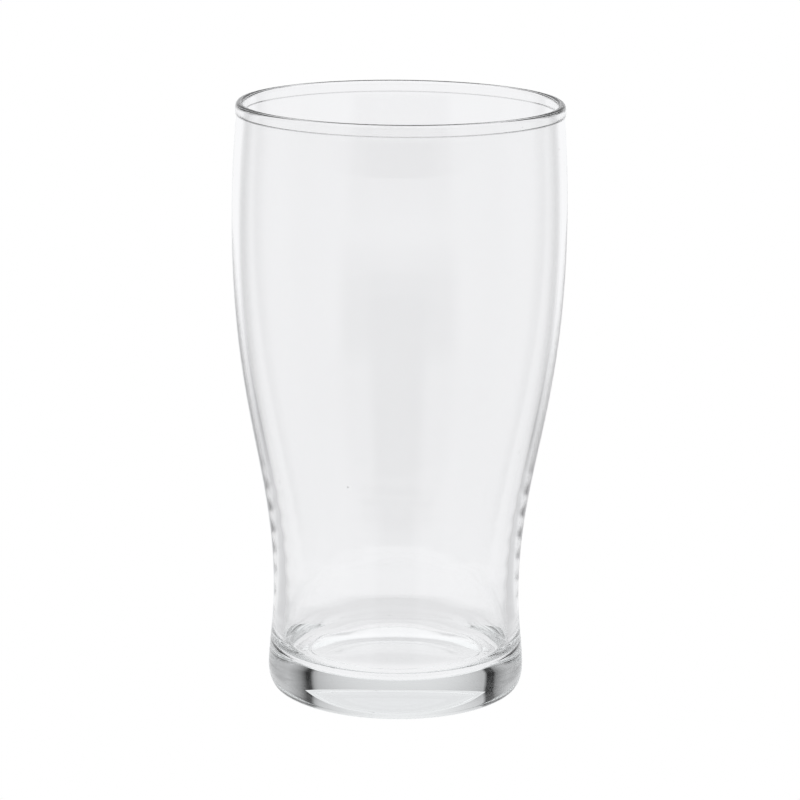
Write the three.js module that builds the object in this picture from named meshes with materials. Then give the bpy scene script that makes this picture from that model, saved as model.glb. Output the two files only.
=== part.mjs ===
// A tulip pint glass: clear glass turned about +Z, standing on the plane z = 0.
//
// The real glass is one piece. Three zones of it are separate solids here, because each zone is
// formed in its own way: the heavy foot, the blown tulip wall, and the melted lip. They meet face
// to face on flat rings, with the same points on both sides, and nothing overlaps.

import * as THREE from 'three';

// Driving dimensions, in millimetres. A radius is the outer one unless its name says otherwise.
const HEIGHT = 152;
const BELLY_RADIUS = 42.3;
const BELLY_HEIGHT = 121.6;
const WAIST_RADIUS = 31.7;
const WAIST_HEIGHT = 25.4;
const FOOT_RADIUS = 33;
const FOOT_HEIGHT = 5.1;
const NECK_RADIUS = 41.15;
const NECK_HEIGHT = 148.2;

// How far the outline runs straight up at each of those heights before it bends away.
const WAIST_LEAD = 33.2;
const BELLY_LEAD_BELOW = 49.3;
const BELLY_LEAD_ABOVE = 11.4;
const FOOT_LEAD = 5;
const WAIST_LEAD_BELOW = 8;
const NECK_SLANT = 0.5;
const NECK_LEAD = 6.4;

// The wall is thickest where it leaves the foot, and thins up to the belly.
const WALL_AT_FOOT = 3.1;
const WALL_AT_BELLY = 1.6;

// The foot: a thick floor, a round inner corner, and a shallow dish under it inside a rest ring.
const FLOOR_HEIGHT = 8.8;
const INNER_CORNER_WIDTH = 5.2;
const INNER_CORNER_HEIGHT = 5.5;
const FOOT_TOP = FLOOR_HEIGHT + INNER_CORNER_HEIGHT;
const REST_RING_OUTER_RADIUS = 30.6;
const REST_RING_INNER_RADIUS = 26.6;
const DISH_DEPTH = 1.3;

// The lip: a tall bead, a little proud of the wall on both sides, with a round crown.
const LIP_PROUD_OUTSIDE = 0.18;
const LIP_PROUD_INSIDE = 0.2;
const LIP_STEP = 0.8;
const LIP_SHOULDER = 150.8;

const SEGMENTS = 64;
const WALL_STEPS = 12;
const SHOULDER_STEPS = 5;
const FOOT_STEPS = 4;
const CORNER_STEPS = 6;
const DISH_STEPS = 6;
const LIP_STEPS = 10;

// One upright cubic curve of the outline. Its handles are given as points.
function curve(...corners) {
  return new THREE.CubicBezierCurve(...corners.map(([r, z]) => new THREE.Vector2(r, z)));
}

const outline = [
  curve(
    [FOOT_RADIUS, FOOT_HEIGHT],
    [FOOT_RADIUS, FOOT_HEIGHT + FOOT_LEAD],
    [WAIST_RADIUS, WAIST_HEIGHT - WAIST_LEAD_BELOW],
    [WAIST_RADIUS, WAIST_HEIGHT],
  ),
  curve(
    [WAIST_RADIUS, WAIST_HEIGHT],
    [WAIST_RADIUS, WAIST_HEIGHT + WAIST_LEAD],
    [BELLY_RADIUS, BELLY_HEIGHT - BELLY_LEAD_BELOW],
    [BELLY_RADIUS, BELLY_HEIGHT],
  ),
  curve(
    [BELLY_RADIUS, BELLY_HEIGHT],
    [BELLY_RADIUS, BELLY_HEIGHT + BELLY_LEAD_ABOVE],
    [NECK_RADIUS + NECK_SLANT, NECK_HEIGHT - NECK_LEAD],
    [NECK_RADIUS, NECK_HEIGHT],
  ),
];

// The outer radius at a height: the outline rises all the way, so halving finds the place on it.
function outerRadius(z) {
  const piece = outline.find((part) => z <= part.v3.y) ?? outline.at(-1);
  let low = 0;
  let high = 1;
  for (let i = 0; i < 40; i++) {
    const middle = (low + high) / 2;
    if (piece.getPoint(middle).y < z) low = middle;
    else high = middle;
  }
  return piece.getPoint(high).x;
}

function innerRadius(z) {
  const thinned = THREE.MathUtils.smoothstep(z, FOOT_TOP, BELLY_HEIGHT);
  return outerRadius(z) - THREE.MathUtils.lerp(WALL_AT_FOOT, WALL_AT_BELLY, thinned);
}

// Points [radius, height] on one side of the wall, evenly spaced from one height to another.
function rise(radiusAt, from, to, steps) {
  return Array.from({ length: steps + 1 }, (_, i) => {
    const z = THREE.MathUtils.lerp(from, to, i / steps);
    return [radiusAt(z), z];
  });
}

// Points on a quarter of an ellipse, about a centre, from one angle to another, in quarter turns.
function round([r, z], width, height, from, to, steps) {
  return Array.from({ length: steps + 1 }, (_, i) => {
    const angle = (THREE.MathUtils.lerp(from, to, i / steps) * Math.PI) / 2;
    return [r + width * Math.cos(angle), z + height * Math.sin(angle)];
  });
}

// A solid turned about +Z from a profile of [radius, height] points, its outer side going up.
function turned(name, profile, material) {
  const points = profile.map(([r, z]) => new THREE.Vector2(r, z));
  const geometry = new THREE.LatheGeometry(points, SEGMENTS).rotateX(Math.PI / 2);
  const mesh = new THREE.Mesh(geometry, material);
  mesh.name = name;
  return mesh;
}

function glass(opacity) {
  return new THREE.MeshStandardMaterial({
    color: 0xf2f5f4,
    roughness: 0.03,
    metalness: 0,
    transparent: true,
    opacity,
  });
}

// The dish under the foot is a parabola, from its middle out to the rest ring.
function dishUnder() {
  return Array.from({ length: DISH_STEPS + 1 }, (_, i) => {
    const out = i / DISH_STEPS;
    return [out * REST_RING_INNER_RADIUS, DISH_DEPTH * (1 - out * out)];
  });
}

// The foot starts on the axis under the dish and ends on the axis at the middle of the floor.
function heavyFoot() {
  const heelWidth = FOOT_RADIUS - REST_RING_OUTER_RADIUS;
  const heel = round([REST_RING_OUTER_RADIUS, FOOT_HEIGHT], heelWidth, FOOT_HEIGHT, -1, 0, CORNER_STEPS);
  const side = rise(outerRadius, FOOT_HEIGHT, FOOT_TOP, FOOT_STEPS);
  const cornerCentre = [innerRadius(FOOT_TOP) - INNER_CORNER_WIDTH, FOOT_TOP];
  const corner = round(cornerCentre, INNER_CORNER_WIDTH, INNER_CORNER_HEIGHT, 0, -1, CORNER_STEPS);
  const profile = [...dishUnder(), ...heel, ...side.slice(1), ...corner, [0, FLOOR_HEIGHT]];
  return turned('heavy_foot', profile, glass(0.45));
}

// One side of the wall, from the foot up past the belly to the neck.
function wallSide(radiusAt) {
  const below = rise(radiusAt, FOOT_TOP, BELLY_HEIGHT, WALL_STEPS);
  const above = rise(radiusAt, BELLY_HEIGHT, NECK_HEIGHT, SHOULDER_STEPS);
  return [...below, ...above.slice(1)];
}

function tulipWall() {
  const outside = wallSide(outerRadius);
  const inside = wallSide(innerRadius).reverse();
  return turned('tulip_wall', [...outside, ...inside, outside[0]], glass(0.3));
}

// The bead steps out of the wall just above the neck, rises to its shoulder, and closes over it.
function roundedLip() {
  const outer = NECK_RADIUS + LIP_PROUD_OUTSIDE;
  const inner = innerRadius(NECK_HEIGHT) - LIP_PROUD_INSIDE;
  const middle = [(outer + inner) / 2, LIP_SHOULDER];
  const crown = round(middle, (outer - inner) / 2, HEIGHT - LIP_SHOULDER, 0, 2, LIP_STEPS);
  const foot = [NECK_RADIUS, NECK_HEIGHT];
  const step = NECK_HEIGHT + LIP_STEP;
  const inside = [[inner, step], [innerRadius(NECK_HEIGHT), NECK_HEIGHT]];
  return turned('rounded_lip', [foot, [outer, step], ...crown, ...inside, foot], glass(0.4));
}

const pintGlass = new THREE.Group();
pintGlass.name = 'pint_glass';
pintGlass.add(heavyFoot(), tulipWall(), roundedLip());

export default pintGlass;
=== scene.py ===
import math

import bpy
import numpy as np
from mathutils import Matrix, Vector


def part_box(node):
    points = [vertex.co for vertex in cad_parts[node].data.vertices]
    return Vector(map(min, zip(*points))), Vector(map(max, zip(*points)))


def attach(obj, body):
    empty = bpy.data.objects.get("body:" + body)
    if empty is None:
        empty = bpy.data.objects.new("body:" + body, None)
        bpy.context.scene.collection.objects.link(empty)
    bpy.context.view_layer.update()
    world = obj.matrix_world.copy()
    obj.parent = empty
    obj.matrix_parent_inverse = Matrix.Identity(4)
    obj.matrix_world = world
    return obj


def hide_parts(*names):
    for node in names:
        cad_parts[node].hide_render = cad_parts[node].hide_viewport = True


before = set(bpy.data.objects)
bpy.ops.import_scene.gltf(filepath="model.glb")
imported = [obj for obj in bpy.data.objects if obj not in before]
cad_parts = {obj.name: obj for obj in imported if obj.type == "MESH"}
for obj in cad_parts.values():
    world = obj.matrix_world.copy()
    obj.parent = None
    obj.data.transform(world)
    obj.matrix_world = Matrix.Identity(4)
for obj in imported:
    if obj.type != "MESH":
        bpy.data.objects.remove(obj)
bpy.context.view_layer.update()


# ---------------------------------------------------------------------------------------------
# The glass body: one piece of clear soda-lime glass, pressed at the foot and blown into a mould
# above it. The foot is thick and stands on a narrow ring round a shallow dish. The mouth is
# melted by a flame into a round bead.
# ---------------------------------------------------------------------------------------------

MM = 0.001

foot_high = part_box("heavy_foot")[1]
wall_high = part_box("tulip_wall")[1]
lip_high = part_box("rounded_lip")[1]

foot_radius = foot_high.x
foot_top = foot_high.z
belly_radius = wall_high.x
neck_height = wall_high.z
lip_radius = lip_high.x
height = lip_high.z

foot_height = 5.1 * MM
waist_radius = 31.7 * MM
waist_height = 25.4 * MM
belly_height = 0.8 * height
lip_proud = 0.18 * MM
neck_radius = lip_radius - lip_proud

foot_lead = 5 * MM
waist_lead_below = 8 * MM
waist_lead_above = 33.2 * MM
belly_lead_below = 49.3 * MM
belly_lead_above = 11.4 * MM
neck_lead = 6.4 * MM
neck_slant = 0.5 * MM

wall_at_foot = 3.1 * MM
wall_at_belly = 1.6 * MM
floor_height = 8.8 * MM
corner_width = 5.2 * MM
ring_outer = 30.6 * MM
ring_inner = 26.6 * MM
dish_depth = 1.3 * MM
mark_radius = 22.3 * MM
mark_width = 0.3 * MM
mark_depth = 0.2 * MM
bead_low = neck_height + 0.75 * MM
bead_high = bead_low + 0.22 * MM
lip_within = 0.2 * MM
bead_shoulder = height - 1.2 * MM

AROUND = 224
GLASS_IOR = 1.52
POLISHED = 0.001
SCUFFED = 0.35
SCUFFS_PER_METRE = 900
SCUFFS_START = 0.12 * MM
SCUFFS_FULL = 0.02 * MM
SEEDS_PER_METRE = 70
SEED_SIZE = 0.022
SEED_RISE = 0.15 * MM
IRON_TINT = (0.80, 0.89, 0.88, 1)
IRON_DENSITY = 2.5

FLOOR_REACH = 20 * MM
RIPPLE = 0.014 * MM
RIPPLE_LENGTH = 6.1 * MM
RIPPLE_STARTS = (14 * MM, 22 * MM)
RIPPLE_ENDS = (48 * MM, 66 * MM)
STREAK = 0.008 * MM
STREAK_COUNTS = (5, 8, 13, 17, 23)
STREAK_TWIST = 30
STREAKS_FADE_IN = 20 * MM
STREAKS_FADE_OUT = 12 * MM


def cubic(start, leave, arrive, end, count):
    """A cubic curve: its ends weighted by the cubes of 1 - t and t, and its two handles by three
    times the mixed products of their squares, for t from 0 to 1."""
    t = np.linspace(0, 1, count)[:, None]
    s = 1 - t
    start, leave, arrive, end = (np.array(point) for point in (start, leave, arrive, end))
    return start * s**3 + 3 * leave * s**2 * t + 3 * arrive * s * t**2 + end * t**3


def outline():
    """The outside from the widest place of the foot to the neck: three cubic curves end to end,
    upright where they meet at the waist and at the belly."""
    foot = cubic(
        (foot_radius, foot_height),
        (foot_radius, foot_height + foot_lead),
        (waist_radius, waist_height - waist_lead_below),
        (waist_radius, waist_height),
        count=400,
    )
    tulip = cubic(
        (waist_radius, waist_height),
        (waist_radius, waist_height + waist_lead_above),
        (belly_radius, belly_height - belly_lead_below),
        (belly_radius, belly_height),
        count=1600,
    )
    shoulder = cubic(
        (belly_radius, belly_height),
        (belly_radius, belly_height + belly_lead_above),
        (neck_radius + neck_slant, neck_height - neck_lead),
        (neck_radius, neck_height),
        count=400,
    )
    return np.concatenate([foot, tulip[1:], shoulder[1:]])


side = outline()


def eased(value, low, high):
    """How far a value is from low to high, eased: three times the square of the plain share less
    twice its cube."""
    plain = np.clip((value - low) / (high - low), 0, 1)
    return plain**2 * (3 - 2 * plain)


def outer_radius(z):
    """The outline, and above the neck the bead's eased step outwards."""
    wall = np.interp(z, side[:, 1], side[:, 0])
    return wall + lip_proud * eased(z, bead_low, bead_high)


def inner_radius(z):
    """The outer radius less a wall that thins, eased, from the foot to the belly, and less the
    bead's own step inwards above the neck."""
    wall = wall_at_foot + (wall_at_belly - wall_at_foot) * eased(z, foot_top, belly_height)
    bead = (lip_proud + lip_within) * eased(z, bead_low, bead_high)
    return outer_radius(z) - wall - bead


def rise(radius_at, low, high, count):
    """Evenly spaced heights from low to high, each with the radius there."""
    z = np.linspace(low, high, count)
    return np.stack([radius_at(z), z], 1)


def arc(centre, width, depth, start, stop, count):
    """Part of an ellipse about a centre: width times the cosine and depth times the sine of an
    angle that runs from start to stop, in quarter turns."""
    angle = np.linspace(start, stop, count) * math.pi / 2
    return np.stack([centre[0] + width * np.cos(angle), centre[1] + depth * np.sin(angle)], 1)


def section():
    """The section of the glass as radius and height, from the axis under the dish, round the heel,
    up the outside, over the lip, down the inside and along the floor back to the axis. The dish is
    a parabola, and the plunger's mark on the floor is a groove shaped like a bell curve."""
    out = np.linspace(0, 1, 28)
    dish = np.stack([out * ring_inner, dish_depth * (1 - out**2)], 1)
    heel = arc((ring_outer, foot_height), foot_radius - ring_outer, foot_height, -1, 0, 20)
    outside = rise(outer_radius, foot_height, neck_height, 108)
    neck_outside = rise(outer_radius, neck_height, bead_low, 4)
    step_outside = rise(outer_radius, bead_low, bead_high, 9)
    bead_outside = rise(outer_radius, bead_high, bead_shoulder, 10)
    bead_width = outer_radius(bead_shoulder) - inner_radius(bead_shoulder)
    bead_middle = (outer_radius(bead_shoulder) - bead_width / 2, bead_shoulder)
    crown = arc(bead_middle, bead_width / 2, height - bead_shoulder, 0, 2, 26)
    bead_inside = rise(inner_radius, bead_shoulder, bead_high, 10)
    step_inside = rise(inner_radius, bead_high, bead_low, 9)
    neck_inside = rise(inner_radius, bead_low, neck_height, 4)
    inside = rise(inner_radius, neck_height, foot_top, 160)
    corner_middle = (inner_radius(foot_top) - corner_width, foot_top)
    corner = arc(corner_middle, corner_width, foot_top - floor_height, 0, -1, 22)
    across = np.linspace(3, -3, 25)
    groove = floor_height - mark_depth * np.exp(-(across**2))
    mark = np.stack([mark_radius + across * mark_width, groove], 1)
    floor = np.concatenate([corner[-1:], mark, np.linspace(mark[-1], (0, floor_height), 8)[1:]])
    up = [dish, heel, outside, neck_outside, step_outside, bead_outside, crown]
    parts = [*up, bead_inside, step_inside, neck_inside, inside, corner, floor]
    return np.concatenate([parts[0], *(part[1:] for part in parts[1:])])


def turned(profile, around):
    """A closed surface of revolution: each point of the profile between its two poles is carried
    round the axis by the cosine and sine of an even set of angles. Gives the points and faces."""
    ring = profile[1:-1]
    angle = np.arange(around) * 2 * math.pi / around
    radius, z = ring[:, :1], ring[:, 1:]
    grid = np.stack([radius * np.cos(angle), radius * np.sin(angle), z + 0 * angle], 2)
    grid = grid.reshape(-1, 3)
    poles = [(0, 0, profile[0, 1]), (0, 0, profile[-1, 1])]
    row, column = np.meshgrid(np.arange(len(ring) - 1) * around, np.arange(around), indexing="ij")
    after = (column + 1) % around
    quads = np.stack([row + column, row + after, row + around + after, row + around + column], 2)
    last = (len(ring) - 1) * around
    here, there = column[0], after[0]
    under = np.stack([there, here, np.full(around, len(grid))], 1)
    over = np.stack([last + here, last + there, np.full(around, len(grid) + 1)], 1)
    faces = [*quads.reshape(-1, 4).tolist(), *under.tolist(), *over.tolist()]
    return np.concatenate([grid, poles]), faces


def link(name, points, faces):
    """A new object in the scene with this smooth mesh, at the origin."""
    mesh = bpy.data.meshes.new(name)
    mesh.from_pydata(points, [], faces)
    mesh.shade_smooth()
    piece = bpy.data.objects.new(name, mesh)
    bpy.context.scene.collection.objects.link(piece)
    return piece


glass = bpy.data.materials.new("clear_glass")
glass.use_nodes = True
nodes, links = glass.node_tree.nodes, glass.node_tree.links
clear = nodes["Principled BSDF"]
clear.inputs["Base Color"].default_value = (1, 1, 1, 1)
clear.inputs["IOR"].default_value = GLASS_IOR
clear.inputs["Transmission Weight"].default_value = 1.0

# The rest ring is scuffed where it meets tables; the rest of the skin is fire polished.
place = nodes.new("ShaderNodeTexCoord")
upright = nodes.new("ShaderNodeSeparateXYZ")
links.new(place.outputs["Object"], upright.inputs["Vector"])
worn = nodes.new("ShaderNodeMapRange")
worn.inputs["From Min"].default_value = SCUFFS_START
worn.inputs["From Max"].default_value = SCUFFS_FULL
links.new(upright.outputs["Z"], worn.inputs["Value"])
scuffs = nodes.new("ShaderNodeTexNoise")
scuffs.inputs["Scale"].default_value = SCUFFS_PER_METRE
scuffs.inputs["Detail"].default_value = 4
links.new(place.outputs["Object"], scuffs.inputs["Vector"])
scuffed = nodes.new("ShaderNodeMath")
scuffed.operation = "MULTIPLY"
links.new(worn.outputs["Result"], scuffed.inputs[0])
links.new(scuffs.outputs["Fac"], scuffed.inputs[1])
polish = nodes.new("ShaderNodeMapRange")
polish.inputs["To Min"].default_value = POLISHED
polish.inputs["To Max"].default_value = SCUFFED
links.new(scuffed.outputs["Value"], polish.inputs["Value"])
links.new(polish.outputs["Result"], clear.inputs["Roughness"])

# A few seeds, which are tiny bubbles, lie just under the skin.
seeds = nodes.new("ShaderNodeTexVoronoi")
seeds.inputs["Scale"].default_value = SEEDS_PER_METRE
links.new(place.outputs["Object"], seeds.inputs["Vector"])
seed = nodes.new("ShaderNodeMapRange")
seed.interpolation_type = "SMOOTHSTEP"
seed.inputs["From Min"].default_value = SEED_SIZE
seed.inputs["From Max"].default_value = 0.0
links.new(seeds.outputs["Distance"], seed.inputs["Value"])
skin = nodes.new("ShaderNodeBump")
skin.inputs["Strength"].default_value = 1.0
skin.inputs["Distance"].default_value = SEED_RISE
links.new(seed.outputs["Result"], skin.inputs["Height"])
links.new(skin.outputs["Normal"], clear.inputs["Normal"])

# A trace of iron takes a little light out of the thick foot.
iron = nodes.new("ShaderNodeVolumeAbsorption")
iron.inputs["Color"].default_value = IRON_TINT
iron.inputs["Density"].default_value = IRON_DENSITY
links.new(iron.outputs["Volume"], nodes["Material Output"].inputs["Volume"])


def blown(points):
    """The same points with the waves of the blown glass on the inside wall: a ripple up the low
    wall, one sine of the height whose phase drifts with the azimuth, and streaks, a sum of sines
    of the azimuth. Both move the wall in and out."""
    x, y, z = points.T
    radius = np.hypot(x, y)
    angle = np.arctan2(y, x)
    middle = (inner_radius(z) + outer_radius(z)) / 2
    inside = (radius < middle) & (radius > FLOOR_REACH)
    drift = 0.9 * np.sin(angle + 1) + 0.6 * np.sin(2 * angle + 0.4)
    low_wall = eased(z, *RIPPLE_STARTS) * (1 - eased(z, *RIPPLE_ENDS))
    ripple = RIPPLE * np.sin(2 * math.pi * z / RIPPLE_LENGTH + drift) * low_wall
    twist = STREAK_TWIST * z
    streaks = sum(np.sin(count * angle + twist + count**2) for count in STREAK_COUNTS)
    streaks = streaks / len(STREAK_COUNTS)
    whole_wall = eased(z, foot_top, foot_top + STREAKS_FADE_IN)
    whole_wall = whole_wall * (1 - eased(z, neck_height - STREAKS_FADE_OUT, neck_height))
    moved = ripple + STREAK * streaks * whole_wall
    grown = 1 + np.where(inside, moved / np.maximum(radius, MM), 0)
    return points * np.stack([grown, grown, np.ones_like(grown)], 1)


body_points, body_faces = turned(section(), AROUND)
body = link("glass_body", blown(body_points), body_faces)
body.data.materials.append(glass)
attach(body, "root")
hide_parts("heavy_foot", "tulip_wall", "rounded_lip")


# ---------------------------------------------------------------------------------------------
# The camera: a long lens a little above the rim, which looks down at the glass from the front.
# It is level but for a hair of roll.
# ---------------------------------------------------------------------------------------------

camera = bpy.data.objects.new("camera", bpy.data.cameras.new("camera"))
bpy.context.scene.collection.objects.link(camera)
bpy.context.scene.camera = camera
camera.data.sensor_width = 36
camera.data.lens = 141.66
camera.data.shift_x = 0.0026
camera.location = (0, -0.7828, 0.2618)
look_down = Matrix.Rotation(math.radians(90 - 13.406), 4, "X")
roll = Matrix.Rotation(math.radians(0.541), 4, "Z")
camera.matrix_world = Matrix.Translation(camera.location) @ look_down @ roll


# ---------------------------------------------------------------------------------------------
# The studio: a pale round table under a white cloth tent, which turn together to face the camera.
# The cloth's glow is painted light: a pool behind the glass, a panel on each side past a dark gap,
# and a broad top. The table's glow is painted light and shade: white near the glass and behind it,
# grey at the sides and dark in front.
# ---------------------------------------------------------------------------------------------

TENT_RADIUS = 3.0
WEB_AROUND = 180
TINT = (0.985, 0.987, 1.0)
BACKDROP_MIDDLE = -2.5
BACKDROP_GLOW = 0.86
BACKDROP_HALF = 30
BACKDROP_EDGE = (30.2, 31.2)
SIDE_GLOW = 0.5
SIDE_START = 35.7
SIDE_WIDTH = 13
FRONT_GLOW = 0.6
FRONT_LOW_GLOW = 0.25
TOP_GLOW = 1.11
TABLE_LEVEL = -0.0002
TABLE_GLOW = 0.95
FAR_TABLE_GLOW = 0.96


# The far table's brightness is painted light and shade in its glow, not lit by any lamp.
def far_glow(radius, around):
    """How bright the far table is: white below the backdrop, dimmer below the gap beside it, grey
    to the sides and dark towards the camera, but for its rim and a patch near the glass on each
    side of the line to the camera. All edges are eased."""
    gap = eased(around, 36, 42) * (1 - eased(around, 50, 62)) * eased(radius, 0.12, 0.2)
    far = FAR_TABLE_GLOW - 0.25 * gap - 0.3 * eased(around, 38, 46) - 0.2 * eased(around, 80, 110)
    towards = eased(around, 136, 148)
    beside = (1 - eased(around, 158, 168)) * (1 - eased(radius, 0.24, 0.27))
    return far - towards * (0.46 - 0.3 * beside - 0.4 * eased(radius, 0.42, 0.9))


# The cloth's pool, side panels, gap and top are painted light in its glow.
def tent_glow(azimuth, elevation):
    """How bright the cloth is. The backdrop, whose middle is a little to one side, dims with
    elevation, falls off with the square of the azimuth from its middle and stops at an edge. The
    side panels begin past a gap and brighten with the square root of the azimuth beyond it; the
    front starts softly; and the top takes over, eased, with elevation. At eye level, but for the
    front, the cloth is as bright as the table that it meets."""
    aside = np.abs(azimuth - BACKDROP_MIDDLE)
    around = np.abs(azimuth)
    pool = BACKDROP_GLOW - 0.14 * eased(elevation, 12, 21)
    pool = pool * (1 - 0.4 * (aside / BACKDROP_HALF) ** 2) * (1 - eased(aside, *BACKDROP_EDGE))
    side = SIDE_GLOW * np.sqrt(np.clip((aside - SIDE_START) / SIDE_WIDTH, 0, 1))
    side = side * eased(elevation, 9, 13) * (1 - eased(around, 100, 140))
    front = FRONT_GLOW * eased(around, 90, 130) * eased(elevation, 11, 26)
    low = np.maximum(np.maximum(pool, side), front)
    low_front = FRONT_LOW_GLOW * eased(around, 60, 100) * (1 - eased(around, 150, 165))
    low = np.maximum(low, low_front)
    glow = low + (TOP_GLOW - low) * eased(elevation, 30, 46)
    level = (1 - eased(elevation, 1, 9)) * (1 - eased(around, 120, 150))
    return glow + (far_glow(TENT_RADIUS, around) - glow) * level


def table_glow(radius, azimuth):
    """How bright the table's painted glow is: white near the glass, and eased further out to the
    far table. A soft painted shade, standing in for the foot's shadow, lies behind the foot and on
    each side of it."""
    around = np.abs(azimuth)
    far = far_glow(radius, around)
    front = eased(around, 90, 140)
    outwards = eased(radius, 0.065 - 0.025 * front, 0.085 + 0.03 * front)
    glow = TABLE_GLOW + (far - TABLE_GLOW) * outwards
    # Painted shade in place of the foot's shadow, taken out of the table's glow beside and behind
    # the foot.
    beside = eased(around, 60, 90) * (1 - eased(around, 120, 150))
    painted_side_shade = 0.5 * beside * eased(radius, 0.036, 0.045) * (1 - eased(radius, 0.065, 0.085))
    behind = 1 - eased(around, 25, 60)
    painted_back_shade = 0.13 * behind * eased(radius, 0.026, 0.036) * (1 - eased(radius, 0.038, 0.085))
    return glow - painted_side_shade - painted_back_shade


def shine(name, points, faces, glow):
    """A surface that gives out light: its glow where anything but the camera looks at it, and
    plain white where the camera does."""
    surface = link(name, points, faces)
    surface.data.attributes.new("glow", "FLOAT", "POINT").data.foreach_set("value", glow)
    cloth = bpy.data.materials.new(name)
    cloth.use_nodes = True
    nodes, links = cloth.node_tree.nodes, cloth.node_tree.links
    nodes.remove(nodes["Principled BSDF"])
    glowing = nodes.new("ShaderNodeEmission")
    glowing.inputs["Color"].default_value = (*TINT, 1)
    white = nodes.new("ShaderNodeEmission")
    strength = nodes.new("ShaderNodeAttribute")
    strength.attribute_name = "glow"
    path = nodes.new("ShaderNodeLightPath")
    either = nodes.new("ShaderNodeMixShader")
    links.new(strength.outputs["Fac"], glowing.inputs["Strength"])
    links.new(path.outputs["Is Camera Ray"], either.inputs["Fac"])
    links.new(glowing.outputs["Emission"], either.inputs[1])
    links.new(white.outputs["Emission"], either.inputs[2])
    links.new(either.outputs["Shader"], nodes["Material Output"].inputs["Surface"])
    surface.data.materials.append(cloth)
    facing = surface.constraints.new("LOCKED_TRACK")
    facing.target = camera
    facing.track_axis = "TRACK_NEGATIVE_Y"
    facing.lock_axis = "LOCK_Z"
    return surface


def web(radii, heights, around):
    """A round sheet of quads: each radius and height is carried round the axis, as on a lathe,
    closed in the round and open at its rims. Azimuth 0 is along +Y. Gives points and faces."""
    azimuth = np.arange(around) * 2 * math.pi / around
    x = radii[:, None] * np.sin(azimuth)
    y = radii[:, None] * np.cos(azimuth)
    points = np.stack([x, y, heights[:, None] + 0 * azimuth], 2).reshape(-1, 3)
    row, column = np.meshgrid(np.arange(len(radii) - 1) * around, np.arange(around), indexing="ij")
    after = (column + 1) % around
    faces = np.stack([row + column, row + around + column, row + around + after, row + after], 2)
    return points, faces.reshape(-1, 4).tolist()


def bearing(points):
    """The azimuth from +Y in degrees, positive towards +X."""
    return np.degrees(np.arctan2(points[:, 0], points[:, 1]))


table_radii = np.geomspace(0.00001, TENT_RADIUS, 400)
table_points, table_faces = web(table_radii, np.full(400, TABLE_LEVEL), WEB_AROUND)
table_radius = np.hypot(table_points[:, 0], table_points[:, 1])
table = shine("table", table_points, table_faces, table_glow(table_radius, bearing(table_points)))

climb = np.radians(np.linspace(-0.5, 89.9, 91))
tent_points, tent_faces = web(TENT_RADIUS * np.cos(climb), TENT_RADIUS * np.sin(climb), WEB_AROUND)
tent_glows = tent_glow(bearing(tent_points), np.degrees(np.repeat(climb, WEB_AROUND)))
tent = shine("tent", tent_points, tent_faces, tent_glows)

world = bpy.data.worlds.new("dark")
world.use_nodes = True
world.node_tree.nodes["Background"].inputs["Strength"].default_value = 0
bpy.context.scene.world = world

scene = bpy.context.scene
scene.view_settings.view_transform = "Standard"
scene.cycles.max_bounces = 40
scene.cycles.transmission_bounces = 40
scene.cycles.glossy_bounces = 24
